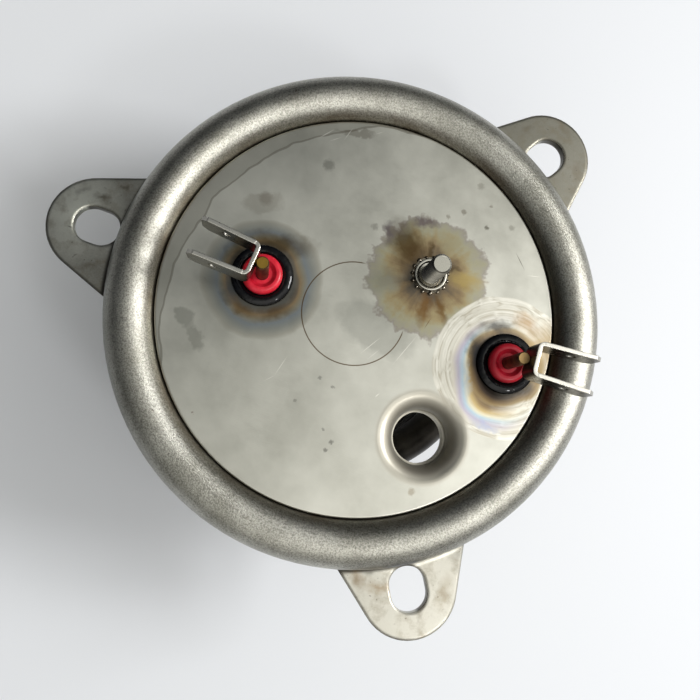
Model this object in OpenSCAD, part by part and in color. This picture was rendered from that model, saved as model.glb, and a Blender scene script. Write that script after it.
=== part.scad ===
// Immersion heater for a lever espresso machine, seen from its dry side.
// A round plate sits in a pressed channel rim with three bolt ears.
// A sheathed tube, wound into a coil, hangs from the plate into the water.
// The origin is the middle of the plate's dry face, and +Z points away from the water.
// The terminals lie along X, and one ear points along -X.

/* [Rim] */
// Outside diameter of the rim
rim_d = 100; // [96:1:106]
// Width of the rolled rim, from outer wall to inner wall
rim_w = 9.7; // [9.2:0.1:10.2]
// Thickness of the pressed sheet
rim_t = 2; // [1.6:0.1:2.2]
// Height of the rim's crown above the plate
rim_rise = 3.45; // [2.5:0.05:4]
// Depth of the rim's walls below the plate's dry face
rim_drop = 8.75; // [8:0.05:11]

/* [Ears] */
// Number of bolt ears
ear_count = 3; // [2:1:4]
// Distance of the bolt slots from the rim's outer wall
ear_reach = 6; // [5.5:0.5:8]
// Radius of the rounded end of an ear
ear_end_r = 10; // [8:0.5:11]
// Width of an ear where it leaves the rim
ear_root_w = 26; // [22:1:30]
// Inside radius of the bend between wall and ear
ear_bend_r = 2; // [1:0.1:2.2]
// Width of a bolt slot
slot_w = 7.5; // [6:0.1:8]
// Length of a bolt slot, along the radius
slot_l = 9.4; // [8.2:0.1:10]

/* [Plate] */
// Thickness of the plate
plate_t = 2.5; // [2:0.1:3]
// Gap between the plate's edge and the rim's inner wall
plate_gap = 0.1; // [0.05:0.05:0.3]
// Radius of the plate's upper edge
plate_edge_r = 0.4; // [0.1:0.1:0.8]
// Size of the weld seam under the plate's edge
seam_leg = 1.2; // [0.6:0.1:2]

/* [Fitting hole] */
// Diameter of the fitting hole
fit_d = 10.4; // [8:0.1:12]
// Distance of the fitting hole from the rim's inner wall
fit_edge = 12.8; // [12.3:0.5:14.3]
// Direction of the fitting hole
fit_az = -44; // [-60:1:-35]
// Width of the ledge round the hole at the bottom of its dimple
fit_ledge = 0.5; // [0.3:0.1:1]
// Depth of the ledge below the dry face
fit_deep = 4.5; // [4:0.1:6]
// Radius of the dimple's rounded mouth
fit_round = 3.4; // [2.8:0.1:3.6]

/* [Terminal places] */
// Distance of the left terminal from the rim's inner wall, along X
left_edge = 19.5; // [18.8:0.1:22.3]
// Distance of the right terminal from the rim's inner wall, along X
right_edge = 8.9; // [7.9:0.1:9.3]
// Place of both terminals along Y
term_y = 0.6; // [-2:0.1:2]
// Diameter of the recess round each terminal
recess_d = 12.2; // [11.4:0.1:13]
// Depth of that recess
recess_deep = 0.8; // [0.4:0.1:1.2]
// Length of the drawn collar under the plate
collar_l = 2; // [1:0.1:4]
// Wall of the drawn collar
collar_t = 1.2; // [0.8:0.1:2]
// Size of the braze fillet under each collar
braze_leg = 1; // [0.5:0.1:1.5]

/* [Heating tube] */
// Outside diameter of the sheath
tube_d = 8; // [7.6:0.1:8.2]
// Wall of the sheath
tube_t = 0.6; // [0.5:0.1:0.9]
// Height of the sheath's ends above the dry face
tube_rise = 0.9; // [0.5:0.1:1.5]
// Radius of the bends between legs and coil
bend_r = 10; // [9:0.5:11]
// Depth of the top turn's middle line
coil_deep = 29.4; // [25:0.1:40]
// Drop of the coil in one turn
coil_pitch = 9.4; // [8.8:0.1:12]
// Number of full turns
coil_turns = 2; // [1:1:3]
// Distance of the inward curl's middle from the coil's axis
curl_off = 9.8; // [7.8:0.1:11.8]
// Outside diameter of the resistance winding
wind_d = 3.2; // [3:0.1:4]
// Thickness of the resistance winding
wind_t = 0.5; // [0.3:0.1:0.6]
// Play between the sheath, the packed powder and what it holds
pack_gap = 0.05; // [0.02:0.01:0.1]

/* [Terminals] */
// Diameter of the terminal pins
pin_d = 2.5; // [2.2:0.1:2.8]
// Height of the pins above the dry face
pin_rise = 11; // [9:0.1:13]
// Length of the pins below the dry face
pin_deep = 14; // [10:0.5:15]
// Chamfer on the tip of a pin
pin_tip = 0.2; // [0.1:0.05:0.4]
// Depth of the flat that a tab is welded to
pin_flat = 0.1; // [0.05:0.05:0.3]
// Length of the pin's thin end inside the winding
pin_end = 4; // [2:0.5:5]
// Outside diameter of the red bush
bush_d = 8; // [7.6:0.1:8.4]
// Height of the red bush above the dry face
bush_rise = 2.4; // [2:0.1:4]
// Radius of the bush's outer edge
bush_round = 0.9; // [0.3:0.1:1]
// Diameter of the hollow in the top of the bush
bush_cup_d = 5.6; // [4.6:0.1:6]
// Depth of that hollow
bush_cup_deep = 0.8; // [0.3:0.1:1]
// Length of the bush's stem below the dry face
bush_stem = 6; // [4:0.5:9]
// Height of the black seal's crest above the dry face
seal_rise = 1; // [0.6:0.1:1.2]
// Radius of the black seal's rounded crest
seal_round = 1.5; // [1.3:0.1:2]

/* [Tab forks] */
// Thickness of the tab sheet
tab_t = 0.8; // [0.5:0.1:1]
// Height of the tabs
tab_h = 6.3; // [4.8:0.1:6.3]
// Distance between the middle planes of the two tabs
tab_gap = 6; // [5:0.1:7]
// Length of the left fork's tabs from their web
left_tab_l = 11.5; // [9:0.1:13]
// Length of the right fork's tabs from their web
right_tab_l = 12.3; // [9:0.1:13]
// Inside radius of the bends
tab_bend_r = 0.5; // [0.3:0.1:1]
// Length of the fork's overlap with its pin
tab_lap = 3.3; // [2:0.1:5]
// Diameter of the latch hole in each tab
tab_hole_d = 1.8; // [1:0.1:2.2]
// Distance of the latch hole from the tab's end
tab_hole_off = 5; // [4:0.1:6]
// Chamfer on the corners of a tab's end
tab_chamfer = 1.2; // [0.5:0.1:1.6]
// Turn of the left fork about its pin
left_turn = -4; // [-5:0.1:5]
// Turn of the right fork about its pin
right_turn = 3.5; // [-5:0.1:5]
// Spread of each tab of the left fork
left_spread = 1.7; // [0:0.1:3]
// Spread of each tab of the right fork
right_spread = 1.8; // [0:0.1:3]
// Shift of the left fork along its pin's flat
left_shift = 0.7; // [-0.8:0.1:0.8]
// Shift of the right fork along its pin's flat
right_shift = 0.1; // [-0.8:0.1:0.8]

/* [Stud] */
// Diameter of the stud
stud_d = 4; // [3:0.5:5]
// Height of the stud above the dry face
stud_rise = 10.5; // [8:0.5:14]
// Distance of the stud from the middle
stud_off = 16.6; // [12:0.1:20]
// Direction of the stud
stud_az = 48.7; // [35:0.1:70]
// Chamfer on the stud's tip
stud_tip = 0.4; // [0.2:0.1:0.8]
// Width of the flange round the stud's foot
stud_lip = 1.3; // [0.8:0.1:1.6]
// Height of that flange
stud_foot_h = 1.1; // [0.6:0.1:1.6]
// Thickness of the weld bead round the flange
weld_w = 0.8; // [0.4:0.1:1.2]
// Number of weld pearls round the flange
weld_pearls = 15; // [8:1:24]

/* [Hidden] */
$fn = 96;

// Overlap that makes cuts run clear of a face
over = 1;
// Overlap inside the metal where a form joins its carrier
join = 0.3;
// Swell that closes the joints between two stretches of bar or sheet
joint_swell = 0.02;
// Length by which two stretches of sheet pass into each other
joint_lap = 0.05;

rim_r = rim_d / 2;
roll_r = rim_w / 2;
crown_r = rim_r - roll_r;
leg_r = rim_r - rim_w;
equator_z = rim_rise - roll_r;
plate_r = leg_r - plate_gap;

ear_top_z = rim_t - rim_drop;
bolt_r = rim_r + ear_reach;
// An ear's side runs from its root corner and meets the round end at a slight angle
ear_meet = 2;
root_to_bolt = [bolt_r - rim_r, -ear_root_w / 2];
side_off = ear_end_r * cos(ear_meet);
side_az = atan2(root_to_bolt[1], root_to_bolt[0]) + asin(side_off / norm(root_to_bolt));
side_l = sqrt(pow(norm(root_to_bolt), 2) - pow(side_off, 2));

dimple_r = fit_d / 2 + fit_ledge;
mouth_r = dimple_r + fit_round;
cup_r = dimple_r + plate_t;
cup_z = -fit_deep - plate_t;

tube_r = tube_d / 2;
bore_r = tube_r - tube_t;
pin_r = pin_d / 2;
wind_r = wind_d / 2;

fit_off = leg_r - fit_edge;
left_x = left_edge - leg_r;
right_x = leg_r - right_edge;
left_at = [left_x, term_y];
right_at = [right_x, term_y];
left_az = atan2(term_y, left_x);
right_az = atan2(term_y, right_x);
// The right leg bends straight into the coil, which sets the coil's radius
coil_r = sqrt(pow(norm(right_at), 2) - pow(bend_r, 2));
coil_start = right_az - atan2(bend_r, coil_r);
// The curl's centre, the coil's axis and the left leg make a triangle
curl_r = coil_r - curl_off;
curl_to_leg = norm([curl_r, bend_r]);
curl_lead = acos((pow(curl_off, 2) + pow(norm(left_at), 2) - pow(curl_to_leg, 2))
    / (2 * curl_off * norm(left_at)));
curl_apex = acos((pow(curl_off, 2) + pow(curl_to_leg, 2) - pow(norm(left_at), 2))
    / (2 * curl_off * curl_to_leg));
curl_start = left_az + curl_lead;
curl_sweep = 180 - curl_apex - atan2(bend_r, curl_r);
first_arc = (coil_start - curl_start + 720) % 360;
coil_bottom = coil_deep + coil_turns * coil_pitch;

tab_bend_mid = tab_bend_r + tab_t / 2;
fork_z = pin_rise - tab_lap;
fork_off = pin_r - pin_flat + tab_t / 2;
stud_foot_r = stud_d / 2 + stud_lip;

function polar(r, a) = [r * cos(a), r * sin(a)];

// Quarter left outside a circle in a square corner, for fillets and rounded edges
module corner(r) {
    difference() {
        square(r);
        translate([r, r]) circle(r = r);
    }
}

// Section of the rim: a roll on two walls, open below
module rim_section() {
    difference() {
        union() {
            translate([crown_r, equator_z]) circle(r = roll_r);
            translate([leg_r, -rim_drop]) square([rim_w, rim_drop + equator_z]);
        }
        translate([crown_r, equator_z]) circle(r = roll_r - rim_t);
        translate([leg_r + rim_t, -rim_drop - over])
            square([rim_w - 2 * rim_t, rim_drop + equator_z + over]);
    }
}

// Block over the outline of an ear that points along +X, with its root inside the channel
module ear_prism(play = 0) {
    root = [rim_r, ear_root_w / 2] + polar(play, side_az + 90);
    meet = root + polar(side_l, side_az);
    foot = root - polar(ear_bend_r + rim_t, side_az);
    translate([0, 0, -rim_drop - over]) {
        translate([bolt_r, 0, 0]) cylinder(r = ear_end_r + play, h = rim_drop);
        linear_extrude(rim_drop) polygon([
            foot, meet, [bolt_r, 0],
            [meet[0], -meet[1]], [foot[0], -foot[1]]
        ]);
    }
}

// Sheet of an ear with the bend that carries it
module ear_sheet() {
    intersection() {
        ear_prism();
        rotate([0, 0, -45]) rotate_extrude(angle = 90) {
            translate([rim_r - rim_t / 2, -rim_drop])
                square([bolt_r + ear_end_r + over - rim_r + rim_t / 2, rim_t]);
            translate([rim_r - join, ear_top_z - join])
                square([join, ear_bend_r + join]);
            translate([rim_r, ear_top_z - join]) square([ear_bend_r, join]);
            translate([rim_r, ear_top_z]) corner(ear_bend_r);
        }
    }
}

// Outer side of the bend, cut from the wall inside the channel
module ear_bend_cut() {
    outer_r = ear_bend_r + rim_t;
    intersection() {
        ear_prism(joint_swell);
        rotate([0, 0, -45]) rotate_extrude(angle = 90)
            translate([rim_r + ear_bend_r, ear_top_z + ear_bend_r]) difference() {
                translate([-outer_r - over / 2, -outer_r - over])
                    square([outer_r + over / 2, outer_r + over]);
                circle(r = outer_r);
            }
    }
}

module slot() {
    for (s = [-1, 1]) translate([bolt_r + s * (slot_l - slot_w) / 2, 0, -rim_drop - over])
        cylinder(d = slot_w, h = rim_t + 2 * over);
    translate([bolt_r - (slot_l - slot_w) / 2, -slot_w / 2, -rim_drop - over])
        cube([slot_l - slot_w, slot_w, rim_t + 2 * over]);
}

// Copies of what it is given, one at each ear
module each_ear() {
    for (i = [0 : ear_count - 1]) rotate([0, 0, 180 + i * 360 / ear_count]) children();
}

// Rim and ears, pressed from one sheet
module rim() {
    color("#a9a69d") difference() {
        union() {
            rotate_extrude() rim_section();
            each_ear() ear_sheet();
        }
        each_ear() {
            ear_bend_cut();
            slot();
        }
    }
}

// Section of the dimple round the fitting hole
module dimple_section() {
    difference() {
        union() {
            translate([fit_d / 2, cup_z]) square([cup_r - fit_d / 2, -cup_z]);
            translate([cup_r - join, -plate_t]) square([mouth_r + join - cup_r + join, plate_t]);
            translate([cup_r, -plate_t]) mirror([0, 1]) corner(fit_round - plate_t);
        }
        translate([fit_d / 2 - over, -fit_deep]) square([over + fit_ledge, fit_deep + over]);
        translate([mouth_r, -fit_round]) mirror([1, 0]) difference() {
            translate([0, 0]) square([fit_round + over, fit_round + over]);
            circle(r = fit_round);
        }
        translate([cup_r, cup_z]) mirror([1, 0]) corner(plate_t / 2);
    }
}

// Plate with its drawn fitting hole and two drawn terminal collars
module centre_plate() {
    color("#cfcabd") difference() {
        union() {
            difference() {
                rotate_extrude() difference() {
                    translate([0, -plate_t]) square([plate_r, plate_t]);
                    translate([plate_r, 0]) mirror([1, 1]) corner(plate_edge_r);
                }
                translate(concat(polar(fit_off, fit_az), -plate_t - over))
                    cylinder(r = mouth_r, h = plate_t + 2 * over);
            }
            translate(concat(polar(fit_off, fit_az), 0)) rotate_extrude() dimple_section();
            for (p = [left_at, right_at]) translate([p[0], p[1], -plate_t - collar_l])
                cylinder(r = tube_r + collar_t, h = collar_l + join);
        }
        for (p = [left_at, right_at]) translate([p[0], p[1], 0]) {
            translate([0, 0, -plate_t - collar_l - over])
                cylinder(r = tube_r, h = plate_t + collar_l + 2 * over);
            translate([0, 0, -recess_deep]) cylinder(d = recess_d, h = recess_deep + over);
        }
    }
}

// Weld seam between the plate's wet face and the rim's inner wall
module seam_weld() {
    color("#8d8578") rotate_extrude()
        translate([leg_r, -plate_t]) mirror([1, 1]) corner(seam_leg);
}

// Braze fillet between a collar's lower edge and the sheath
module braze(at) {
    color("#8a6f4a") translate([at[0], at[1], -plate_t - collar_l])
        rotate_extrude() translate([tube_r, 0]) mirror([0, 1]) corner(braze_leg);
}

// Arc of round bar that starts at azimuth a and runs clockwise
module arc(r, a, sweep, bar) {
    rotate([0, 0, a - sweep]) rotate_extrude(angle = sweep) translate([r, 0]) circle(r = bar);
}

// Bend in an upright plane: from is the angle at which it starts
module elbow(at, z, az, from, bar) {
    translate([at[0], at[1], z + bend_r]) rotate([90, 0, az]) rotate([0, 0, from])
        rotate_extrude(angle = 90) translate([bend_r, 0]) circle(r = bar);
}

// Half a turn that drops by one pitch, as a tilted half circle
module ramp(a, z, bar) {
    tilt = atan2(coil_pitch / 2, coil_r);
    translate([0, 0, z - coil_pitch / 2]) rotate([0, 0, a]) rotate([0, -tilt, 0])
        arc(norm([coil_r, coil_pitch / 2]), 0, 180, bar);
}

// Straight leg on a terminal's axis, up to a height
module leg(at, low, high, bar) {
    translate([at[0], at[1], low]) cylinder(r = bar, h = high - low);
}

// Ball that closes the joint between two stretches of bar, with its poles inside them
module joint_ball(at, z, tilt, az, bar) {
    translate([at[0], at[1], z]) rotate([tilt, 0, az]) sphere(r = bar + joint_swell);
}

// Bar along the whole middle line of the heating tube, with its legs up to a height
module tube_line(bar, top) {
    out_az = curl_start - curl_sweep;
    curl_at = polar(curl_off, curl_start);
    curl_end = curl_at + polar(curl_r, out_az);
    leg(right_at, bend_r - coil_deep, top, bar);
    joint_ball(right_at, bend_r - coil_deep, 0, 0, bar);
    elbow(polar(coil_r, coil_start), -coil_deep, coil_start - 90, 180, bar);
    joint_ball(polar(coil_r, coil_start), -coil_deep, 90, coil_start, bar);
    translate([0, 0, -coil_deep]) arc(coil_r, coil_start, first_arc, bar);
    for (i = [0 : coil_turns - 1]) {
        z = -coil_deep - i * coil_pitch;
        joint_ball(polar(coil_r, curl_start), z, 90, curl_start, bar);
        ramp(curl_start, z, bar);
        joint_ball(polar(coil_r, curl_start + 180), z - coil_pitch, 90, curl_start + 180, bar);
        translate([0, 0, z - coil_pitch]) arc(coil_r, curl_start + 180, 180, bar);
    }
    joint_ball(polar(coil_r, curl_start), -coil_bottom, 90, curl_start, bar);
    translate([curl_at[0], curl_at[1], -coil_bottom]) arc(curl_r, curl_start, curl_sweep, bar);
    joint_ball(curl_end, -coil_bottom, 90, out_az, bar);
    elbow(curl_end, -coil_bottom, out_az - 90, 270, bar);
    joint_ball(left_at, bend_r - coil_bottom, 0, 0, bar);
    leg(left_at, bend_r - coil_bottom, top, bar);
}

module element_sheath() {
    color("#3a3733") difference() {
        tube_line(tube_r, tube_rise);
        tube_line(bore_r, tube_rise + over);
    }
}

// Pressed magnesium oxide round the winding and the pins
module insulation_core() {
    top = -bush_stem - pack_gap;
    color("#e8e4d8") difference() {
        tube_line(bore_r - pack_gap, top);
        tube_line(wind_r + pack_gap, -pin_deep);
        for (at = [left_at, right_at]) leg(at, -pin_deep - join, top + over, pin_r + pack_gap);
    }
}

// Resistance winding, drawn as the sleeve that its fine turns fill
module heating_wire() {
    top = -pin_deep - pack_gap;
    color("#8c7f70") difference() {
        tube_line(wind_r, top);
        tube_line(wind_r - wind_t, top + over);
    }
}

// Terminal pin with a chamfered tip, a flat for its tab and a thin inner end
module pin(at, az) {
    color("#b79a62") translate([at[0], at[1], 0]) difference() {
        union() {
            translate([0, 0, -pin_deep]) cylinder(r = pin_r, h = pin_deep + pin_rise - pin_tip);
            translate([0, 0, pin_rise - pin_tip])
                cylinder(r1 = pin_r, r2 = pin_r - pin_tip, h = pin_tip);
            translate([0, 0, -pin_deep - pin_end])
                cylinder(r = wind_r - wind_t - pack_gap, h = pin_end + join);
        }
        rotate([0, 0, az]) translate([pin_r - pin_flat, -pin_r, fork_z])
            cube([pin_d, pin_d, tab_lap + over]);
    }
}

// Red bush: a stem in the sheath's mouth and a flange on its end
module bush(at) {
    color("#c8202f") translate([at[0], at[1], 0]) rotate_extrude() difference() {
        union() {
            translate([pin_r + pack_gap, -bush_stem])
                square([bore_r - 2 * pack_gap - pin_r, bush_stem + tube_rise + join]);
            translate([pin_r + pack_gap, tube_rise])
                square([bush_d / 2 - pin_r - pack_gap, bush_rise - tube_rise]);
        }
        translate([bush_d / 2, bush_rise]) mirror([1, 1]) corner(bush_round);
        translate([0, bush_rise]) polygon([
            [0, over], [bush_cup_d / 2, over], [bush_cup_d / 2, 0],
            [bush_cup_d / 2 - bush_cup_deep, -bush_cup_deep], [0, -bush_cup_deep]
        ]);
    }
}

// Black seal in the recess round the sheath
module seal(at) {
    inner = tube_r + pack_gap;
    outer = recess_d / 2 - pack_gap;
    color("#15161a") translate([at[0], at[1], 0]) rotate_extrude() intersection() {
        translate([inner, -recess_deep]) square([outer - inner, recess_deep + seal_rise]);
        union() {
            translate([(inner + outer) / 2, seal_rise - seal_round]) circle(r = seal_round);
            translate([inner, -recess_deep])
                square([outer - inner, recess_deep + seal_rise - seal_round]);
        }
    }
}

// One tab of a fork, from its bend to its chamfered end
module tab(length, spread) {
    reach = length - tab_bend_mid;
    translate([tab_bend_mid, tab_gap / 2 - tab_bend_mid, 0]) {
        rotate([0, 0, 90 + spread]) rotate_extrude(angle = 90 - spread)
            translate([tab_bend_r + joint_swell, joint_swell])
                square([tab_t - 2 * joint_swell, tab_h - 2 * joint_swell]);
        rotate([0, 0, spread]) difference() {
            translate([-joint_lap, tab_bend_r, 0]) cube([reach + joint_lap, tab_t, tab_h]);
            for (m = [0, 1]) translate([0, 0, m * tab_h]) mirror([0, 0, m])
                translate([reach, 0, 0]) rotate([0, 45, 0])
                    translate([-tab_chamfer / sqrt(2), 0, -tab_h])
                        cube([tab_h, 2 * tab_bend_mid, 2 * tab_h]);
            translate([reach - tab_hole_off, 0, tab_h / 2]) rotate([-90, 0, 0])
                cylinder(d = tab_hole_d, h = 2 * tab_bend_mid);
        }
    }
}

// Fork of two tabs on one web, which is welded to the outer side of its pin
module tab_fork(at, az, length, spread, shift) {
    web_l = tab_gap - 2 * tab_bend_mid + 2 * joint_lap;
    color("#c9c7c0") translate([at[0], at[1], fork_z]) rotate([0, 0, az])
        translate([fork_off, shift, 0]) {
            translate([-tab_t / 2, -web_l / 2, 0]) cube([tab_t, web_l, tab_h]);
            for (m = [0, 1]) mirror([0, m, 0]) tab(length, spread);
        }
}

// Weld stud with its flange
module stud() {
    color("#b9b6ab") translate(concat(polar(stud_off, stud_az), 0)) rotate_extrude() {
        square([stud_d / 2, stud_rise - stud_tip]);
        translate([0, stud_rise - stud_tip]) polygon([
            [0, 0], [stud_d / 2, 0], [stud_d / 2 - stud_tip, stud_tip], [0, stud_tip]
        ]);
        difference() {
            square([stud_foot_r, stud_foot_h]);
            translate([stud_foot_r, stud_foot_h]) mirror([1, 1]) corner(stud_foot_h / 2);
        }
    }
}

// Bead and pearls of weld metal round the stud's flange
module stud_weld() {
    bead_r = weld_w / 2;
    color("#77705f") translate(concat(polar(stud_off, stud_az), 0)) intersection() {
        union() {
            rotate_extrude() translate([stud_foot_r, 0]) square([bead_r, bead_r]);
            for (i = [0 : weld_pearls - 1]) rotate([0, 0, i * 360 / weld_pearls])
                translate([stud_foot_r + bead_r, 0, bead_r / 2])
                    sphere(r = bead_r * (1 + 0.2 * sin(i * 130)));
        }
        difference() {
            cylinder(r = stud_foot_r + 2 * weld_w, h = weld_w * 2);
            translate([0, 0, -over]) cylinder(r = stud_foot_r, h = 2 * weld_w + 2 * over);
        }
    }
}

rim();
centre_plate();
seam_weld();
element_sheath();
insulation_core();
heating_wire();
pin(left_at, 180 + left_turn);  // pin_left
pin(right_at, right_turn);  // pin_right
bush(left_at);  // bush_left
bush(right_at);  // bush_right
seal(left_at);  // seal_left
seal(right_at);  // seal_right
tab_fork(left_at, 180 + left_turn, left_tab_l, left_spread, left_shift);  // tab_fork_left
tab_fork(right_at, right_turn, right_tab_l, right_spread, right_shift);  // tab_fork_right
braze(left_at);  // braze_left
braze(right_at);  // braze_right
stud();
stud_weld();
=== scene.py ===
# %% [markdown]
# # Espresso machine heating element
# The construction model gives every piece its exact shape and place. This lesson adds
# what it leaves out: a real thread on the stud, the finishes of steel, rubber and
# silicone, and the stains that soldering heat and years of water leave behind.

# %% Load the construction model
from math import atan2, degrees, hypot, radians

import bpy
from mathutils import Matrix, Vector


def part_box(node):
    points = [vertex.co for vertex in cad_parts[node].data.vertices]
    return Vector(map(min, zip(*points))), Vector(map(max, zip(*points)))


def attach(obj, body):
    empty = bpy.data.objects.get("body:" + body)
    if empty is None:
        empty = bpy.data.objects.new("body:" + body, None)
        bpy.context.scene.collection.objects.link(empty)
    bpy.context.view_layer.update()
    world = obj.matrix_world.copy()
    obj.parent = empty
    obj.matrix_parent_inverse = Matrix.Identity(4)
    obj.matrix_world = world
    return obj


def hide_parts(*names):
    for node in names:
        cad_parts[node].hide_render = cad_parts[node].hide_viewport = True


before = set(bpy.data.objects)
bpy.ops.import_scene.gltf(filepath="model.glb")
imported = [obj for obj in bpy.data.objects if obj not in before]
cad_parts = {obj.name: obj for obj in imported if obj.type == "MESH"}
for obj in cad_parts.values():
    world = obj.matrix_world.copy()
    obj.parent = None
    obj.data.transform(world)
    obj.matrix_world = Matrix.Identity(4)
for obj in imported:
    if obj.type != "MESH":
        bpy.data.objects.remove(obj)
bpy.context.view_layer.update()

MM = 0.001
bpy.ops.object.select_all(action="DESELECT")
print("construction nodes:", len(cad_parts))

# %% [markdown]
# ## Camera
# The photograph looks down on the dry side from about 15 cm, a little tilted, as a
# phone held over a table does. The place and the three axes below are the ones at
# which the rim, the ears and the terminals fall where they do in the picture.

# %% Camera
CAMERA_AT = Vector((-10.77, -30.02, 147.7)) * MM
CAMERA_RIGHT = Vector((0.9387, 0.3228, 0.1209))
CAMERA_UP = Vector((-0.3364, 0.9345, 0.1167))
CAMERA_BACK = CAMERA_RIGHT.cross(CAMERA_UP).normalized()
LENS_MM = 38.83

camera_data = bpy.data.cameras.new("camera")
camera_data.sensor_width = 36.0
camera_data.lens = LENS_MM
camera_data.clip_start = 5 * MM
camera = bpy.data.objects.new("camera", camera_data)
bpy.context.collection.objects.link(camera)
turn = Matrix((CAMERA_RIGHT, CAMERA_BACK.cross(CAMERA_RIGHT), CAMERA_BACK)).transposed()
camera.matrix_world = Matrix.Translation(CAMERA_AT) @ turn.to_4x4()
bpy.context.scene.camera = camera
print("camera height over the plate, mm:", round(CAMERA_AT.z / MM, 1))

# %% [markdown]
# ## Two helpers
# Colours are written as the hex values that a paint program shows, and one function
# turns them into the linear values that the renderer works with. The other adds one
# shader node, sets it up, links what goes into it and gives back its output.


# %% Helpers for materials
def linear(hex_colour):
    """An sRGB colour such as "#c8c2b4" as a linear RGBA tuple."""
    parts = [int(hex_colour[i:i + 2], 16) / 255 for i in (1, 3, 5)]
    return tuple(
        p / 12.92 if p <= 0.04045 else ((p + 0.055) / 1.055) ** 2.4 for p in parts
    ) + (1.0,)


def add(tree, kind, inputs=None, out=0, ramp=None, **settings):
    """Adds a node with its settings and links, and returns one of its outputs."""
    node = tree.nodes.new("ShaderNode" + kind)
    for name, value in settings.items():
        setattr(node, name, value)
    for socket, value in (inputs or {}).items():
        if isinstance(value, bpy.types.NodeSocket):
            tree.links.new(value, node.inputs[socket])
        else:
            node.inputs[socket].default_value = value
    if ramp:
        stops = node.color_ramp.elements
        for place, colour in ramp[1:-1]:
            stops.new(place)
        for stop, (place, colour) in zip(stops, ramp):
            stop.position = place
            stop.color = linear(colour)
    return node.outputs[out] if node.outputs else None


def material(name):
    """A new material with an empty tree, and its Object coordinates in millimetres."""
    made = bpy.data.materials.new(name)
    made.use_nodes = True
    made.node_tree.nodes.clear()
    tree = made.node_tree
    place = add(tree, "TexCoord", out="Object")
    return made, tree, add(tree, "VectorMath", {0: place, 3: 1 / MM}, operation="SCALE")


def finish(tree, **inputs):
    """Ends a tree in one Principled shader, with its sockets named by keyword."""
    named = {key.replace("_", " ").title(): value for key, value in inputs.items()}
    named = {"IOR" if key == "Ior" else key: value for key, value in named.items()}
    shader = add(tree, "BsdfPrincipled", named)
    add(tree, "OutputMaterial", {"Surface": shader})


def give(made, *nodes):
    """Puts a material on construction nodes and on new pieces."""
    for piece in nodes:
        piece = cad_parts[piece] if isinstance(piece, str) else piece
        piece.data.materials.clear()
        piece.data.materials.append(made)
    print(made.name, "on", len(nodes), "piece(s)")


# %% [markdown]
# ## Sizes that the pieces and stains follow
# Heat spreads from where the pieces were welded and brazed, so each tint is a set of
# rings round the stud or a terminal. Their middles are read from the model.


# %% Places on the plate
def middle(node):
    """The middle of a node's box, in millimetres."""
    low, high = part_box(node)
    return tuple((a + b) / 2 / MM for a, b in zip(low, high))


stud_at = middle("stud")
left_at = middle("bush_left")
right_at = middle("bush_right")
FITTING_AT = (19.78, -19.10, 0.0)
EAR_BELOW = (27.5, -50.5)
EAR_RIGHT = (28.5, 49.5)
EAR_LEFT = (-60.5, 1.5)
STUD_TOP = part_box("stud")[1][2] / MM
print("stud at", [round(v, 2) for v in stud_at], "and up to", round(STUD_TOP, 2))

# %% [markdown]
# ## Stage
# The heater lay on a pale table. The floor meets the lowest turn of the coil. A broad
# bright half of the room lies to the lower right, which the metal mirrors, and a
# window further round to the right throws the shadow to the left.

# %% Floor, world and lamps
FLOOR_Z = min(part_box("element_sheath")[0][2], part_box("rim")[0][2])

bpy.ops.mesh.primitive_plane_add(size=3.0, location=(0, 0, FLOOR_Z))
floor = bpy.context.object
floor.name = "floor"
made, tree, place = material("pale_table")
finish(tree, base_color=linear("#e4e6ea"), roughness=0.7)
give(made, floor)

world = bpy.data.worlds.new("studio")
bpy.context.scene.world = world
world.use_nodes = True
tree = world.node_tree
tree.nodes.clear()
way = add(tree, "TexCoord", out="Generated")
lean = add(tree, "VectorMath", {0: way, 1: (0.9, -0.436, 0.0)}, out="Value", operation="DOT_PRODUCT")
share = add(tree, "MapRange", {"Value": lean, "From Min": -1.0, "From Max": 1.0})
tone = add(tree, "ValToRGB", {"Fac": share},
           ramp=[(0.1, "#383a3d"), (0.28, "#5a5c5e"), (0.4, "#6f7172"), (0.45, "#878883"), (0.5, "#a6a7a3"),
                 (0.55, "#c9c9c4"), (0.62, "#f6f5f0"), (0.8, "#f6f5f0"), (1.0, "#b4b4b0")])
high = add(tree, "SeparateXYZ", {0: way}, out="Z")
high = add(tree, "MapRange", {"Value": high, "From Min": 0.2, "From Max": 0.75, "To Min": 0.3, "To Max": 1.0})
tone = add(tree, "VectorMath", {0: tone, 3: high}, operation="SCALE")
sky = add(tree, "Background", {"Color": tone, "Strength": 1.45})
add(tree, "OutputWorld", {"Surface": sky})


def lamp(name, at, aim, size, watts):
    """A square area lamp, with its place and aim in millimetres."""
    data = bpy.data.lights.new(name, "AREA")
    data.size = size * MM
    data.energy = watts
    made = bpy.data.objects.new(name, data)
    bpy.context.collection.objects.link(made)
    at, aim = Vector(at) * MM, Vector(aim) * MM
    made.matrix_world = Matrix.Translation(at) @ (at - aim).to_track_quat("Z", "Y").to_matrix().to_4x4()


lamp("window", (535, 195, 445), (0, 0, 0), 240, 3.8)
lamp("room_lamp", (316, -221, 460), (0, 0, 0), 80, 0.4)
bpy.context.scene.view_settings.view_transform = "Standard"

# %% [markdown]
# ## A real thread on the stud
# The stud is an M4 weld stud with a thread of 0.7 mm pitch, which the construction
# model draws as a plain pin. One tooth is drawn as a line of four points and wound up
# by the Screw modifier, because a thread is exactly that: one profile on a helix. The
# ends are cut flat, and a turned blank with a chamfer trims the crests at the tip.

# %% Thread
PITCH = 0.7
CREST_R, ROOT_R = 2.0, 1.62
FLANGE_R, FLANGE_H = 3.3, 1.1


def deselect():
    """Leaves nothing selected, so that the next operator meets only its own piece."""
    bpy.ops.object.select_all(action="DESELECT")


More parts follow.
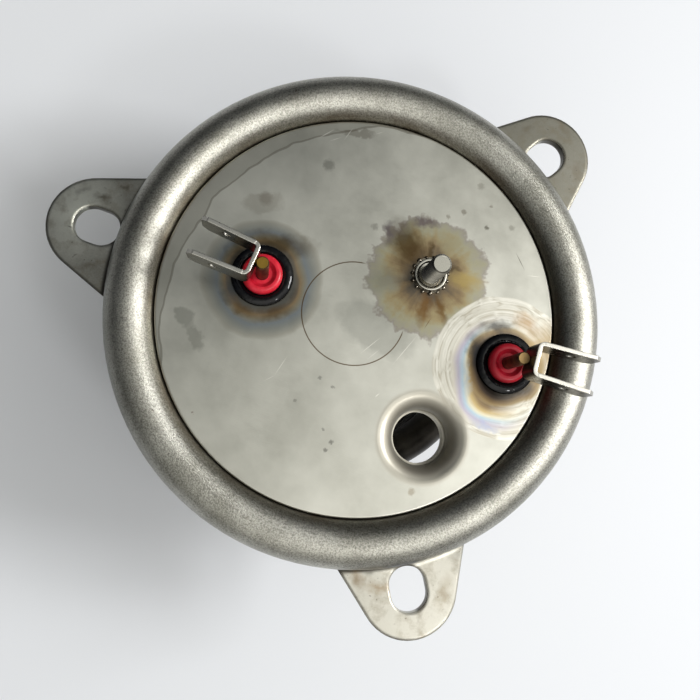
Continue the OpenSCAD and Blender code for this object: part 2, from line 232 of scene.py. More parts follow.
deselect()
bpy.ops.mesh.primitive_plane_add(size=0.1 * MM, location=(0, 0, 0))
thread = bpy.context.object
thread.name = "stud_threaded"
bpy.ops.object.mode_set(mode="EDIT")
bpy.ops.mesh.merge(type="CENTER")
bpy.ops.transform.translate(value=(ROOT_R * MM, 0, (FLANGE_H - 2 * PITCH) * MM))
for step_out, step_up in ((0, 0.09), (CREST_R - ROOT_R, 0.22), (0, 0.09), (ROOT_R - CREST_R, 0.3)):
    bpy.ops.mesh.extrude_vertices_move(TRANSFORM_OT_translate={"value": (step_out * MM, 0, step_up * MM)})
bpy.ops.object.mode_set(mode="OBJECT")
turns = int(STUD_TOP / PITCH) + 4
screw = thread.modifiers.new("helix", "SCREW")
screw.axis = "Z"
screw.steps = screw.render_steps = 40
screw.screw_offset = PITCH * MM
screw.iterations = turns
screw.use_merge_vertices = True
screw.merge_threshold = 0.005 * MM
bpy.ops.object.modifier_apply(modifier="helix")
bpy.ops.object.mode_set(mode="EDIT")
bpy.ops.mesh.select_all(action="SELECT")
bpy.ops.mesh.remove_doubles(threshold=0.004 * MM)
for height, inner in ((FLANGE_H - 0.3, True), (STUD_TOP, False)):
    bpy.ops.mesh.select_all(action="SELECT")
    bpy.ops.mesh.bisect(plane_co=(0, 0, height * MM), plane_no=(0, 0, 1), use_fill=True,
                        clear_inner=inner, clear_outer=not inner)
bpy.ops.mesh.select_all(action="SELECT")
bpy.ops.mesh.normals_make_consistent(inside=False)
bpy.ops.object.mode_set(mode="OBJECT")
print("thread:", turns, "turns,", len(thread.data.polygons), "faces")

# %% [markdown]
# The blank is a turned pin with a chamfer at its tip. Where blank and helix overlap is
# the finished thread, so the crests run out over the chamfer as a rolled thread does.

# %% Blank that trims the thread
bpy.ops.mesh.primitive_cylinder_add(vertices=64, radius=(CREST_R + 0.01) * MM, depth=STUD_TOP * MM,
                                    location=(0, 0, STUD_TOP / 2 * MM))
blank = bpy.context.object
bpy.ops.object.transform_apply(location=True)
bpy.ops.object.mode_set(mode="EDIT")
bpy.ops.mesh.select_all(action="DESELECT")
bpy.ops.object.mode_set(mode="OBJECT")
for edge in blank.data.edges:
    edge.select = all(blank.data.vertices[i].co.z > (STUD_TOP - 0.1) * MM for i in edge.vertices)
bpy.ops.object.mode_set(mode="EDIT")
bpy.ops.mesh.bevel(offset=0.42 * MM, segments=1)
bpy.ops.object.mode_set(mode="OBJECT")
trim = thread.modifiers.new("trim", "BOOLEAN")
trim.operation = "INTERSECT"
trim.solver = "EXACT"
trim.object = blank
deselect()
bpy.context.view_layer.objects.active = thread
thread.select_set(True)
bpy.ops.object.modifier_apply(modifier="trim")
bpy.data.objects.remove(blank)
print("trimmed thread:", len(thread.data.polygons), "faces")

# %% [markdown]
# The flange is what the weld holds. Its top has a turned groove next to the pin, which
# the photograph shows as a dark ring inside a bright one.

# %% Flange with its groove
deselect()
bpy.ops.mesh.primitive_cylinder_add(vertices=64, radius=FLANGE_R * MM, depth=FLANGE_H * MM,
                                    location=(0, 0, FLANGE_H / 2 * MM))
flange = bpy.context.object
bpy.ops.object.transform_apply(location=True)
bpy.ops.object.mode_set(mode="EDIT")
bpy.ops.mesh.select_all(action="DESELECT")
bpy.ops.object.mode_set(mode="OBJECT")
for face in flange.data.polygons:
    face.select = face.normal.z > 0.9
bpy.ops.object.mode_set(mode="EDIT")
bpy.ops.mesh.inset(thickness=0.28 * MM)
bpy.ops.mesh.inset(thickness=0.3 * MM)
bpy.ops.mesh.inset(thickness=0.12 * MM)
bpy.ops.transform.translate(value=(0, 0, -0.3 * MM))
bpy.ops.object.mode_set(mode="OBJECT")
rim_of_flange = flange.modifiers.new("edge", "BEVEL")
rim_of_flange.width = 0.2 * MM
rim_of_flange.segments = 3
rim_of_flange.angle_limit = radians(50)
rim_of_flange.limit_method = "ANGLE"
bpy.ops.object.modifier_apply(modifier="edge")

thread.select_set(True)
bpy.context.view_layer.objects.active = thread
bpy.ops.object.join()
thread.location = (stud_at[0] * MM, stud_at[1] * MM, 0)
deselect()
thread.select_set(True)
bpy.ops.object.transform_apply(location=True)
bpy.ops.object.shade_smooth_by_angle(angle=radians(28))
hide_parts("stud")
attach(thread, "root")
print("stud:", len(thread.data.polygons), "faces")

# %% [markdown]
# ## Pressed and blasted stainless steel
# The rim and its ears are one pressing of stainless sheet, cleaned with glass beads.
# The beads leave a fine even dimpling that spreads each highlight into a broad band
# full of sparkle. Water and flux have left brown dirt in the corner by the plate and
# a few stains on the ears.

# %% Rim
made, tree, place = material("bead_blasted_stainless")
flat = add(tree, "VectorMath", {0: place, 1: (1, 1, 0)}, operation="MULTIPLY")
drift = add(tree, "TexNoise", {"Vector": place, "Scale": 0.5, "Detail": 4.0}, out="Color")
wander = add(tree, "VectorMath", {0: drift, 1: (3, 3, 0), 2: flat}, operation="MULTIPLY_ADD")
wander = add(tree, "VectorMath", {0: wander, 1: (1.5, 1.5, 0)}, operation="SUBTRACT")


def mark(below, at, size, colour, amount, turned=0.0, soft=0.4, on=None):
    """Lays an oval mark over a colour, from its middle, half sizes and turn."""
    local = add(tree, "Mapping", {"Vector": on or wander, "Location": (at[0], at[1], 0),
                                  "Rotation": (0, 0, radians(turned)), "Scale": (size[0], size[1], 1)},
                vector_type="TEXTURE")
    far = add(tree, "VectorMath", {0: local}, out="Value", operation="LENGTH")
    share = add(tree, "MapRange", {"Value": far, "From Min": 1 - soft, "From Max": 1.0, "To Min": amount, "To Max": 0.0})
    return add(tree, "MixRGB", {"Fac": share, "Color1": below, "Color2": linear(colour)})


cloud = add(tree, "TexNoise", {"Vector": place, "Scale": 0.09, "Detail": 4.0, "Roughness": 0.6})
grain = add(tree, "TexNoise", {"Vector": place, "Scale": 3.0, "Detail": 4.0, "Roughness": 0.75})
tone = add(tree, "ValToRGB", {"Fac": cloud},
           ramp=[(0.3, "#a4a297"), (0.55, "#c2c0b6"), (0.75, "#d2d0c6")])
low = add(tree, "SeparateXYZ", {0: place}, out="Z")
on_ear = add(tree, "MapRange", {"Value": low, "From Min": -6.3, "From Max": -5.6, "To Min": 1.0, "To Max": 0.0})
bead = add(tree, "MapRange", {"Value": on_ear, "To Min": 1.0, "To Max": 0.25})
fine = add(tree, "Math", {0: add(tree, "Math", {0: grain, 1: 0.5}, operation="SUBTRACT"), 1: bead}, operation="MULTIPLY")
fine = add(tree, "Math", {0: fine, 1: 0.5}, operation="ADD")
glint = add(tree, "ValToRGB", {"Fac": fine}, ramp=[(0.38, "#b0b0b0"), (0.5, "#dedede"), (0.62, "#ffffff")])
tone = add(tree, "MixRGB", {"Fac": 1.0, "Color1": tone, "Color2": glint}, blend_type="MULTIPLY")
EAR_STAINS = [
    ((-57.0, 6.0), (2.4, 1.1), "#5d5444", 0.7, -10), ((-53.4, 9.6), (1.0, 0.8), "#5d5444", 0.6, 0),
    ((-61.0, 6.0), (1.8, 1.2), "#6f6b62", 0.5, 60), ((-54.6, -8.5), (3.0, 1.0), "#6a5f4c", 0.45, 35),
    ((17.6, -49.8), (2.6, 1.7), "#77603f", 0.6, -40), ((22.2, -50.0), (3.6, 1.7), "#8a7350", 0.6, 10),
    ((35.2, -46.5), (1.8, 4.6), "#857457", 0.4, 0), ((31.4, -50.5), (1.0, 3.6), "#57492f", 0.6, 10), ((30.0, 57.0), (3.0, 1.2), "#7a6b52", 0.4, -30),
    ((35.8, 49.0), (1.2, 2.6), "#7d7263", 0.4, 10), ((22.6, 53.6), (2.0, 1.0), "#756c5e", 0.4, 40),
]
rounded = add(tree, "Bevel", {"Radius": 0.9 * MM}, samples=6)
# Painted shade and reflection: where an ear's rounded normal turns to the lower left, its edge is painted dark.
level = add(tree, "VectorMath", {0: rounded, 1: (-0.75, -0.66, 0)}, out="Value", operation="DOT_PRODUCT")
painted_lighting = add(tree, "MapRange", {"Value": level, "From Min": 0.0, "From Max": 0.16, "To Max": 0.88})
blotch = add(tree, "TexNoise", {"Vector": place, "Scale": 0.28, "Detail": 6.0, "Roughness": 0.7})
blotch = add(tree, "MapRange", {"Value": blotch, "From Min": 0.48, "From Max": 0.68, "To Max": 0.5})
# Painted reflection: the rim's flank that faces -x is painted dark, as it mirrors the floor in the shadow there.
painted_dark_flank = add(tree, "VectorMath", {0: rounded, 1: (-0.95, -0.31, 0)}, out="Value", operation="DOT_PRODUCT")
painted_dark_flank = add(tree, "MapRange", {"Value": painted_dark_flank, "From Min": 0.5, "From Max": 0.85, "To Max": 0.65})

# Painted light: the lower and left ears are painted lighter and the right ear darker, as the light falls on each.
ear = mark(tone, EAR_BELOW, (15.0, 15.0), "#cbc8bd", 0.75, soft=0.2)
ear = mark(ear, EAR_RIGHT, (15.0, 15.0), "#8f8c80", 0.75, soft=0.2)
ear = mark(ear, EAR_LEFT, (9.5, 12.0), "#eeefe2", 0.85, soft=0.9)
ear = add(tree, "MixRGB", {"Fac": blotch, "Color1": ear, "Color2": linear("#877d69")})
# Painted shade on the ears' edges that face the lower left.
ear = add(tree, "MixRGB", {"Fac": painted_lighting, "Color1": ear, "Color2": linear("#37332c")})
tone = add(tree, "MixRGB", {"Fac": painted_dark_flank, "Color1": tone, "Color2": linear("#4c4f4a")})
tone = add(tree, "MixRGB", {"Fac": on_ear, "Color1": tone, "Color2": ear})
for at, size, colour, amount, turned in EAR_STAINS:
    tone = mark(tone, at, size, colour, amount, turned, soft=0.9)
across = add(tree, "VectorMath", {0: flat}, out="Value", operation="LENGTH")
# Painted shadow: a dark band on the rim's wall where it stands over the root of the lower ear, between z -4 and 2.4 mm.
root_shadow_band = add(tree, "MapRange", {"Value": low, "From Min": 0.9, "From Max": 2.4, "To Min": 1.0, "To Max": 0.0})
below = add(tree, "MapRange", {"Value": low, "From Min": -4.0, "From Max": -0.6})
root_shadow_band = add(tree, "Math", {0: root_shadow_band, 1: below}, operation="MULTIPLY")
root = mark(tone, (23.9, -43.9), (4.0, 18.0), "#1f1a13", 0.9, -61.4, soft=0.9)
tone = add(tree, "MixRGB", {"Fac": root_shadow_band, "Color1": tone, "Color2": root})
crust = add(tree, "MapRange", {"Value": across, "From Min": 40.9, "From Max": 42.2, "To Min": 0.75, "To Max": 0.0})
crust = add(tree, "Math", {0: crust, 1: add(tree, "MapRange", {"Value": cloud, "From Min": 0.35, "From Max": 0.6})}, operation="MULTIPLY")
tone = add(tree, "MixRGB", {"Fac": crust, "Color1": tone, "Color2": linear("#5d5040")})
pits = add(tree, "TexNoise", {"Vector": place, "Scale": 1.1, "Detail": 2.0})
pits = add(tree, "MapRange", {"Value": pits, "From Min": 0.7, "From Max": 0.76, "To Max": 0.6})
tone = add(tree, "MixRGB", {"Fac": pits, "Color1": tone, "Color2": linear("#5b544a")})
bump = add(tree, "Bump", {"Height": fine, "Strength": 1.0, "Distance": 0.08 * MM, "Normal": rounded})
rough = add(tree, "MapRange", {"Value": grain, "To Min": 0.22, "To Max": 0.42})
finish(tree, base_color=tone, metallic=1.0, roughness=rough, normal=bump)
give(made, "rim", "seam_weld")

# %% [markdown]
# ## The plate
# The plate is cold-rolled stainless sheet. Welding the stud and brazing the tube
# through it left heat tints: an oxide film whose colour follows its thickness. The
# tints come first, then films of dirt, then small marks and scratches on top.

# %% Plate: the bare sheet
made, tree, place = material("rolled_stainless_with_heat_tint")
flat = add(tree, "VectorMath", {0: place, 1: (1, 1, 0)}, operation="MULTIPLY")
cloud = add(tree, "TexNoise", {"Vector": place, "Scale": 0.05, "Detail": 5.0, "Roughness": 0.65})
ripple = add(tree, "TexNoise", {"Vector": place, "Scale": 0.3, "Detail": 3.0, "Roughness": 0.55})
swell = add(tree, "TexNoise", {"Vector": place, "Scale": 0.12, "Detail": 2.0, "Roughness": 0.4})
drift = add(tree, "TexNoise", {"Vector": flat, "Scale": 0.5, "Detail": 5.0}, out="Color")
wander = add(tree, "VectorMath", {0: drift, 1: (3.4, 3.4, 0), 2: flat}, operation="MULTIPLY_ADD")
wander = add(tree, "VectorMath", {0: wander, 1: (1.7, 1.7, 0)}, operation="SUBTRACT")
steel = add(tree, "ValToRGB", {"Fac": cloud},
            ramp=[(0.3, "#c2c1b7"), (0.5, "#d0cfc5"), (0.75, "#dbdad0")])


def ring_distance(centre, wobble, stretch=(1, 1, 0), noise=None):
    """How far a point lies from a centre, with an edge that wobbles by so much."""
    away = add(tree, "VectorMath", {0: flat, 1: (centre[0], centre[1], 0)}, operation="SUBTRACT")
    away = add(tree, "VectorMath", {0: away, 1: stretch}, operation="MULTIPLY")
    away = add(tree, "VectorMath", {0: away}, out="Value", operation="LENGTH")
    shift = add(tree, "MapRange", {"Value": noise or swell, "From Min": 0.3, "From Max": 0.7, "To Min": -wobble, "To Max": wobble})
    return add(tree, "Math", {0: away, 1: shift}, operation="ADD")


def tint(below, distance, reach, amount, colours, start=0.0):
    """Lays rings of colour over what is below, out to a reach in millimetres."""
    share = add(tree, "MapRange", {"Value": distance, "From Min": start, "From Max": reach})
    rings = add(tree, "ValToRGB", {"Fac": share}, ramp=colours)
    inside = add(tree, "MapRange", {"Value": share, "From Min": 0.93, "From Max": 1.0, "To Min": amount, "To Max": 0.0})
    return add(tree, "MixRGB", {"Fac": inside, "Color1": below, "Color2": rings})


# %% [markdown]
# A grey film of dried water lies over the middle, the left edge and a few spots. The
# stud was welded with a strong current, so its tint is wide and streaked, and flux
# burnt into its frayed edge. The right terminal's rings lie over it, where the sheet
# was polished first.

# %% Plate: films and heat tints
FILMS = [
    ((4.0, -1.6), (9.6, 5.4), "#96978f", 0.4, -10), ((-32.4, -12.2), (2.3, 2.2), "#84857c", 0.45, 0),
    ((-29.0, -15.4), (3.2, 1.7), "#8a8a80", 0.4, -50), ((-25.6, 14.6), (4.4, 2.6), "#8a8272", 0.3, 30),
    ((-12.8, 35.6), (4.2, 1.1), "#8a8478", 0.55, 12), ((-24.5, 4.8), (5.0, 3.0), "#6d6a60", 0.45, 20),
    ((-12.2, -3.0), (2.2, 5.6), "#a29f94", 0.4, 10),
]
colour = steel
for at, size, shade, amount, turned in FILMS:
    colour = mark(colour, at, size, shade, amount, turned, soft=0.3)

edge_band = ring_distance((7.5, -4.0), 0.8)
inside = add(tree, "MapRange", {"Value": edge_band, "From Min": 44.7, "From Max": 45.1, "To Max": 0.36})
colour = add(tree, "MixRGB", {"Fac": inside, "Color1": colour, "Color2": linear("#8e8b7e")})
outline = add(tree, "Math", {0: edge_band, 1: 45.0, 2: 0.2}, operation="COMPARE")
outline = add(tree, "Math", {0: outline, 1: 0.4}, operation="MULTIPLY")
colour = add(tree, "MixRGB", {"Fac": outline, "Color1": colour, "Color2": linear("#655c4d")})

petals = add(tree, "VectorMath", {0: flat, 1: (stud_at[0], stud_at[1], 0)}, operation="SUBTRACT")
petals = add(tree, "VectorMath", {0: petals}, operation="NORMALIZE")
petals = add(tree, "TexNoise", {"Vector": petals, "Scale": 3.5, "Detail": 3.0, "Roughness": 0.6})
burnt = add(tree, "MapRange", {"Value": petals, "From Min": 0.3, "From Max": 0.7, "To Min": -1.1, "To Max": 1.1})
burnt = add(tree, "Math", {0: ring_distance((10.7, 12.0), 1.3, noise=ripple), 1: burnt}, operation="ADD")
colour = tint(colour, burnt, 12.8, 0.85,
              [(0.2, "#241a0d"), (0.34, "#584325"), (0.5, "#82683c"), (0.66, "#a08d60"),
               (0.8, "#a5a083"), (0.92, "#a09b8c"), (0.97, "#7c6c68"), (1.0, "#93867f")])
STUD_STREAKS = [
    ((4.6, 16.8), (7.0, 4.6), "#4a371b", 0.8, 140), ((11.8, 5.8), (1.7, 4.8), "#74522a", 0.7, 8),
    ((15.4, 6.4), (1.3, 4.4), "#6e4f28", 0.7, 40), ((18.2, 14.2), (5.0, 2.4), "#b39d62", 0.7, 10),
    ((2.6, 8.0), (4.6, 3.0), "#9a9a8c", 0.8, 30), ((12.8, 20.2), (3.0, 3.0), "#a9a285", 0.7, 0),
    ((6.4, 22.4), (3.6, 1.2), "#6b5f60", 0.75, 20), ((0.2, 18.2), (1.4, 3.2), "#6d6466", 0.75, 20),
    ((13.6, 15.4), (0.8, 4.2), "#4a3a20", 0.6, -80), ((9.6, 17.0), (0.7, 3.8), "#4c3b20", 0.6, 10),
]
for at, size, shade, amount, turned in STUD_STREAKS:
    colour = mark(colour, at, size, shade, amount, turned, soft=0.7)

near_left = ring_distance((left_at[0] + 0.3, left_at[1] - 0.5), 0.5)
colour = tint(colour, near_left, 12.4, 0.78,
              [(0.5, "#1a140c"), (0.56, "#4f3a1e"), (0.6, "#8d7040"), (0.66, "#857d66"), (0.74, "#75808a"),
               (0.82, "#8a8e8b"), (0.93, "#aeaca1"), (1.0, "#a8a496")])
colour = mark(colour, (-19.6, 7.8), (8.6, 3.2), "#54452c", 0.8, 12, soft=0.8)
colour = mark(colour, (-26.2, 2.6), (3.6, 5.0), "#3f3b30", 0.75, 20, soft=0.8)
colour = mark(colour, (-16.0, -5.6), (4.6, 2.0), "#5a4326", 0.6, 35, soft=0.8)
colour = mark(colour, (-22.6, -7.0), (4.6, 1.6), "#6a5230", 0.6, -20, soft=0.8)
colour = mark(colour, (-25.8, -4.8), (2.0, 3.0), "#59636c", 0.5, 30, soft=0.8)

# %% [markdown]
# The right terminal was ground clean on a turning pad, which left a bright disc with
# a crisp edge and fine arcs in it. Brazing then laid heat colours over the disc: brown
# next to the seal, straw, a band of blue and a thin lilac one, and smoke above.

# %% Plate: the polished disc and its heat colours
disc = ring_distance((31.2, -0.4), 0.35)
arcs = add(tree, "VectorMath", {0: flat, 1: (31.2, -0.4, 0)}, operation="SUBTRACT")
arcs = add(tree, "VectorMath", {0: arcs}, out="Value", operation="LENGTH")
arcs = add(tree, "CombineXYZ", {"X": arcs, "Y": add(tree, "Math", {0: swell, 1: 4.0}, operation="MULTIPLY")})
arcs = add(tree, "TexNoise", {"Vector": arcs, "Scale": 2.2, "Detail": 2.0})
bright = add(tree, "ValToRGB", {"Fac": arcs}, ramp=[(0.35, "#c0baab"), (0.5, "#dad7cb"), (0.7, "#efece2")])
inside = add(tree, "MapRange", {"Value": disc, "From Min": 14.5, "From Max": 14.8, "To Min": 0.9, "To Max": 0.0})
colour = add(tree, "MixRGB", {"Fac": inside, "Color1": colour, "Color2": bright})
offset = add(tree, "VectorMath", {0: flat, 1: (right_at[0], right_at[1], 0)}, operation="SUBTRACT")
offset = add(tree, "VectorMath", {0: offset}, operation="NORMALIZE")
sunward = add(tree, "VectorMath", {0: offset, 1: (-0.777, -0.629, 0)}, out="Value", operation="DOT_PRODUCT")
sunward = add(tree, "MapRange", {"Value": sunward, "From Min": 0.1, "From Max": 0.7, "To Min": 0.1, "To Max": 0.9})
brazed = ring_distance((right_at[0] + 0.2, right_at[1] - 1.6), 0.5, stretch=(1.0, 0.86, 0))
colour = tint(colour, brazed, 11.4, sunward,
              [(0.4, "#2b2019"), (0.52, "#5e4a36"), (0.6, "#8f7650"), (0.67, "#c9b078"), (0.73, "#e3dcc0"),
               (0.79, "#b4cbd9"), (0.86, "#b9b3c6"), (0.94, "#d5cfc4"), (1.0, "#dedace")])
colour = tint(colour, ring_distance((right_at[0] - 0.1, right_at[1] - 0.6), 0.5), 8.4, 0.85,
              [(0.7, "#17120e"), (0.78, "#453b34"), (0.87, "#7f6a4c"), (1.0, "#bba67a")])
# Painted shadow of the right fork, on the -x side of its seal.
colour = mark(colour, (right_at[0] - 6.6, right_at[1] + 0.6), (2.6, 5.4), "#2c3036", 0.8, 20, soft=0.8)
colour = mark(colour, (37.5, 5.0), (5.0, 8.6), "#b59f78", 0.75, -15, soft=0.6)
colour = mark(colour, (27.6, 7.2), (5.2, 1.9), "#4f4e4e", 0.8, 22, soft=0.8)
colour = mark(colour, (33.0, 10.0), (3.8, 2.4), "#b28a4e", 0.6, -20, soft=0.8)
colour = mark(colour, (24.6, -5.0), (1.3, 4.6), "#a9bccb", 0.6, 22, soft=0.8)
colour = mark(colour, (31.0, -12.8), (4.4, 0.9), "#aeb6d2", 0.65, -8, soft=0.8)
# Painted shade and light round the fitting's dimple: a dark ring on its wall from 5.7 mm, lighter out to 10 mm.
colour = tint(colour, ring_distance(FITTING_AT, 0.2), 10.0, 0.75,
              [(0.52, "#cfcabc"), (0.57, "#6f685b"), (0.7, "#8b8477"), (0.78, "#9d978a"), (0.86, "#a8a396"), (0.95, "#c0bcb0"), (1.0, "#cfcbc0")])
drawn = add(tree, "MapRange", {"Value": ring_distance(FITTING_AT, 0.2), "From Min": 7.6, "From Max": 9.2, "To Min": 0.62, "To Max": 0.0})

# %% [markdown]
# Last come the fine marks. A thin brown circle was scribed round the middle, before
# the stud's tint covered a quarter of it. Scratches are long thin ovals between two
# points, bright where they are fresh, and specks are dark.

# %% Plate: scribed circle, specks and scratches
circle_at, CIRCLE_R = (-1.13, -0.25), 10.47
off_line = add(tree, "VectorMath", {0: flat, 1: (circle_at[0], circle_at[1], 0)}, operation="SUBTRACT")
reach = add(tree, "VectorMath", {0: off_line}, out="Value", operation="LENGTH")
line = add(tree, "Math", {0: reach, 1: CIRCLE_R}, operation="SUBTRACT")
line = add(tree, "Math", {0: line}, operation="ABSOLUTE")
line = add(tree, "MapRange", {"Value": line, "From Min": 0.08, "From Max": 0.15, "To Min": 0.85, "To Max": 0.0})
facing = add(tree, "VectorMath", {0: off_line, 1: (0.669, 0.743, 0)}, out="Value", operation="DOT_PRODUCT")
shown = add(tree, "MapRange", {"Value": facing, "From Min": 6.4, "From Max": 7.2, "To Min": 1.0, "To Max": 0.0})
line = add(tree, "Math", {0: line, 1: shown}, operation="MULTIPLY")
colour = add(tree, "MixRGB", {"Fac": line, "Color1": colour, "Color2": linear("#5a4528")})

SPECKS = [
    ((-15.9, 26.9), 1.5, "#6f6e66", 0.65), ((-25.4, 15.6), 1.7, "#82776a", 0.5), ((-3.3, -14.8), 0.5, "#6b6a66", 0.6),
    ((-0.3, -15.6), 0.45, "#6b6a66", 0.6), ((-6.5, -20.5), 0.4, "#77756e", 0.6), ((2.9, -25.9), 0.6, "#4d4b47", 0.7),
    ((2.3, -27.7), 0.5, "#4d4b47", 0.7), ((-24.2, -29.2), 0.3, "#6b3f2a", 0.7), ((19.1, 26.2), 0.6, "#46402f", 0.8),
    ((13.5, 27.7), 0.7, "#7b7264", 0.7), ((10.7, 25.5), 0.6, "#7b7264", 0.6), ((-2.9, 18.0), 0.9, "#85827a", 0.6),
    ((24.1, 28.1), 0.8, "#8b887e", 0.6), ((15.2, 34.3), 0.9, "#928d82", 0.6), ((30.2, -28.5), 0.55, "#4a3d2b", 0.8),
    ((21.0, -29.9), 0.9, "#8c7c62", 0.6), ((18.6, 31.0), 0.4, "#7b7264", 0.6), ((0.6, -24.0), 0.35, "#6b6a66", 0.6),
]
fine = add(tree, "TexNoise", {"Vector": flat, "Scale": 2.0, "Detail": 3.0}, out="Color")
shaky = add(tree, "VectorMath", {0: fine, 1: (0.9, 0.9, 0), 2: flat}, operation="MULTIPLY_ADD")
shaky = add(tree, "VectorMath", {0: shaky, 1: (0.45, 0.45, 0)}, operation="SUBTRACT")
for at, size, shade, amount in SPECKS:
    colour = mark(colour, at, (size, size), shade, amount * 0.8, soft=0.5, on=shaky)

SCRATCHES = [
    ((-19.8, 31.4), (-17.2, 34.6), 0.16, "#f4f1e8"), ((-14.8, 32.8), (-13.8, 36.3), 0.13, "#f4f1e8"),
    ((-17.6, 31.6), (-15.2, 33.6), 0.10, "#f4f1e8"), ((9.2, -8.2), (12.6, 0.4), 0.10, "#f1eee6"),
    ((2.5, -7.8), (5.7, -2.7), 0.10, "#f6f3ea"), ((4.2, -8.4), (6.2, -5.2), 0.07, "#f1eee6"),
    ((8.2, -14.8), (8.9, -13.6), 0.14, "#fbf8f0"), ((-11.9, -17.4), (-10.7, -12.6), 0.12, "#f6f3ea"),
    ((-13.6, -19.2), (-11.6, -17.0), 0.08, "#f1eee6"), ((26.3, 23.6), (29.5, 20.4), 0.12, "#5b564b"),
    ((30.0, 19.6), (33.2, 20.4), 0.09, "#f6f3ea"), ((-9.4, 36.4), (-7.4, 38.0), 0.09, "#f4f1e8"),
    ((13.2, 1.4), (14.0, 4.4), 0.10, "#6b4f2a"), ((-21.2, -35.0), (-20.4, -33.6), 0.12, "#f6f3ea"),
]
for start, end, half_width, shade in SCRATCHES:
    run = hypot(end[0] - start[0], end[1] - start[1])
    heading = degrees(atan2(end[1] - start[1], end[0] - start[0]))
    centre = ((start[0] + end[0]) / 2, (start[1] + end[1]) / 2)
    colour = mark(colour, centre, (run / 2, half_width), shade, 0.8, heading, soft=0.8, on=flat)

# %% [markdown]
# Rolling leaves lines along one direction that are finer than the eye resolves, so
# the bump is a noise stretched along the sheet. Films and tints are duller than the
# bare metal, and the bright sheet is smoother.

# %% Plate: surface
rolled = add(tree, "VectorMath", {0: place, 1: (0.5, 6.0, 1.0)}, operation="MULTIPLY")
grain = add(tree, "TexNoise", {"Vector": rolled, "Scale": 0.8, "Detail": 3.0})
rounded = add(tree, "Bevel", {"Radius": 0.3 * MM}, samples=6)
bump = add(tree, "Bump", {"Height": grain, "Strength": 0.3, "Distance": 0.03 * MM, "Normal": rounded})
rough = add(tree, "MapRange", {"Value": cloud, "From Min": 0.3, "From Max": 0.7, "To Min": 0.28, "To Max": 0.4})
rough = add(tree, "Math", {0: rough, 1: drawn}, operation="MAXIMUM")
finish(tree, base_color=colour, metallic=1.0, roughness=rough, normal=bump)
give(made, "centre_plate")

# %% [markdown]
# ## Sheath, fillings and small metal
# The sheath is steel that has gone dark brown in use. The pins are straw coloured
# from the heat of welding, with painted light on their tops. The forks are bright
# nickel-plated steel, drawn with painted highlights on a dark painted shade.

# %% Dark sheath and its filling
made, tree, place = material("oxidised_sheath_steel")
cloud = add(tree, "TexNoise", {"Vector": place, "Scale": 0.2, "Detail": 5.0})
tone = add(tree, "ValToRGB", {"Fac": cloud}, ramp=[(0.3, "#24221f"), (0.7, "#4a4640")])
scale = add(tree, "TexNoise", {"Vector": place, "Scale": 1.8, "Detail": 3.0})
bump = add(tree, "Bump", {"Height": scale, "Strength": 0.3, "Distance": 0.05 * MM})
rough = add(tree, "MapRange", {"Value": cloud, "To Min": 0.3, "To Max": 0.5})
finish(tree, base_color=tone, metallic=0.8, roughness=rough, normal=bump)
give(made, "element_sheath")

made, tree, place = material("magnesium_oxide_powder")
grit = add(tree, "TexNoise", {"Vector": place, "Scale": 4.0, "Detail": 2.0})
tone = add(tree, "ValToRGB", {"Fac": grit}, ramp=[(0.3, "#d8d4c8"), (0.7, "#efece3")])
finish(tree, base_color=tone, roughness=0.9)
give(made, "insulation_core")

made, tree, place = material("resistance_wire")
coils = add(tree, "TexNoise", {"Vector": place, "Scale": 1.5})
tone = add(tree, "ValToRGB", {"Fac": coils}, ramp=[(0.3, "#6a6258"), (0.7, "#8f8678")])
finish(tree, base_color=tone, metallic=1.0, roughness=0.5)
give(made, "heating_wire")

# %% Pins and braze
made, tree, place = material("heat_tinted_pin_steel")
cloud = add(tree, "TexNoise", {"Vector": place, "Scale": 0.9, "Detail": 3.0})
tone = add(tree, "ValToRGB", {"Fac": cloud}, ramp=[(0.3, "#2c2118"), (0.5, "#4a3826"), (0.7, "#6d5538")])
side = add(tree, "SeparateXYZ", {0: place}, out="X")
side = add(tree, "MapRange", {"Value": side, "From Min": -10.0, "From Max": 10.0})
tip = add(tree, "MixRGB", {"Fac": side, "Color1": linear("#9a7c34"), "Color2": linear("#d9b47c")})
# The tops carry the straw heat tint and are painted lighter than the sides, as painted light on lit tops.
facing_up = add(tree, "SeparateXYZ", {0: add(tree, "NewGeometry", out="Normal")}, out="Z")
cut = add(tree, "MapRange", {"Value": facing_up, "From Min": 0.7, "From Max": 0.95, "To Max": 0.9})
tone = add(tree, "MixRGB", {"Fac": cut, "Color1": tone, "Color2": tip})
bump = add(tree, "Bump", {"Height": cloud, "Strength": 0.4, "Distance": 0.1 * MM})
finish(tree, base_color=tone, metallic=0.9, roughness=0.42, normal=bump)
give(made, "pin_left", "pin_right", "braze_left", "braze_right")

# %% Forks
made, tree, place = material("nickel_plated_tab_steel")
cloud = add(tree, "TexNoise", {"Vector": place, "Scale": 0.5, "Detail": 4.0})
# Painted light: the plating is drawn dark as painted shade and reflection on the sides, and faces that look up are
# painted bright as highlights.
tone = add(tree, "ValToRGB", {"Fac": cloud}, ramp=[(0.3, "#3b3932"), (0.7, "#676359")])
facing_up = add(tree, "SeparateXYZ", {0: add(tree, "NewGeometry", out="Normal")}, out="Z")
painted_lighting = add(tree, "MapRange", {"Value": facing_up, "From Min": 0.5, "From Max": 0.9})
tone = add(tree, "MixRGB", {"Fac": painted_lighting, "Color1": tone, "Color2": linear("#dcd9d0")})
rounded = add(tree, "Bevel", {"Radius": 0.3 * MM}, samples=6)
rough = add(tree, "MapRange", {"Value": cloud, "To Min": 0.2, "To Max": 0.36})
finish(tree, base_color=tone, metallic=1.0, roughness=rough, normal=rounded)
give(made, "tab_fork_left", "tab_fork_right")

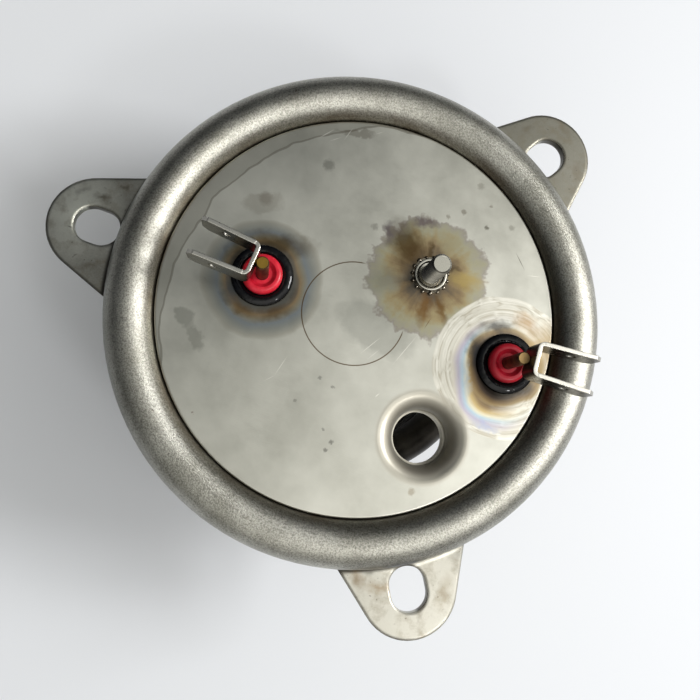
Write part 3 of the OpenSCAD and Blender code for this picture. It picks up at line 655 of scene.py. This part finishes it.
# %% Stud and its weld
made, tree, place = material("stud_steel")
cloud = add(tree, "TexNoise", {"Vector": place, "Scale": 0.6, "Detail": 4.0})
tone = add(tree, "ValToRGB", {"Fac": cloud}, ramp=[(0.3, "#56524a"), (0.7, "#88847a")])
# Painted light: faces that look up are painted bright and the sides dark, as lit tops over shaded sides.
facing_up = add(tree, "SeparateXYZ", {0: add(tree, "NewGeometry", out="Normal")}, out="Z")
painted_lit_top = add(tree, "MapRange", {"Value": facing_up, "From Min": 0.7, "From Max": 0.95})
tone = add(tree, "MixRGB", {"Fac": painted_lit_top, "Color1": tone, "Color2": linear("#d2cfc4")})
finish(tree, base_color=tone, metallic=1.0, roughness=0.26)
give(made, thread)

made, tree, place = material("arc_weld_spatter")
cloud = add(tree, "TexNoise", {"Vector": place, "Scale": 1.6, "Detail": 3.0})
tone = add(tree, "ValToRGB", {"Fac": cloud}, ramp=[(0.35, "#3d352a"), (0.6, "#9c9588")])
finish(tree, base_color=tone, metallic=1.0, roughness=0.18)
give(made, "stud_weld")

# %% [markdown]
# ## Rubber and silicone
# The black ring is a glossy epoxy seal, and the bush is moulded red silicone. The bush
# of the right terminal is darker, as painted shade.

# %% Seals and bushes
made, tree, place = material("black_epoxy_seal")
cloud = add(tree, "TexNoise", {"Vector": place, "Scale": 0.8, "Detail": 2.0})
tone = add(tree, "ValToRGB", {"Fac": cloud}, ramp=[(0.3, "#020203"), (0.7, "#0a0b0f")])
bump = add(tree, "Bump", {"Height": cloud, "Strength": 0.3, "Distance": 0.3 * MM})
finish(tree, base_color=tone, roughness=0.06, ior=1.38, normal=bump)
give(made, "seal_left", "seal_right")

made, tree, place = material("red_silicone_bush")
cloud = add(tree, "TexNoise", {"Vector": place, "Scale": 0.8, "Detail": 2.0})
tone = add(tree, "ValToRGB", {"Fac": cloud}, ramp=[(0.3, "#bb1426"), (0.7, "#d8283c")])
# Painted shade: the bush of the right terminal (+x) is darker.
side = add(tree, "SeparateXYZ", {0: place}, out="X")
side = add(tree, "MapRange", {"Value": side, "From Min": -10.0, "From Max": 10.0, "To Max": 0.6})
tone = add(tree, "MixRGB", {"Fac": side, "Color1": tone, "Color2": linear("#7c0d1c")})
finish(tree, base_color=tone, roughness=0.32, ior=1.43)
give(made, "bush_left", "bush_right")
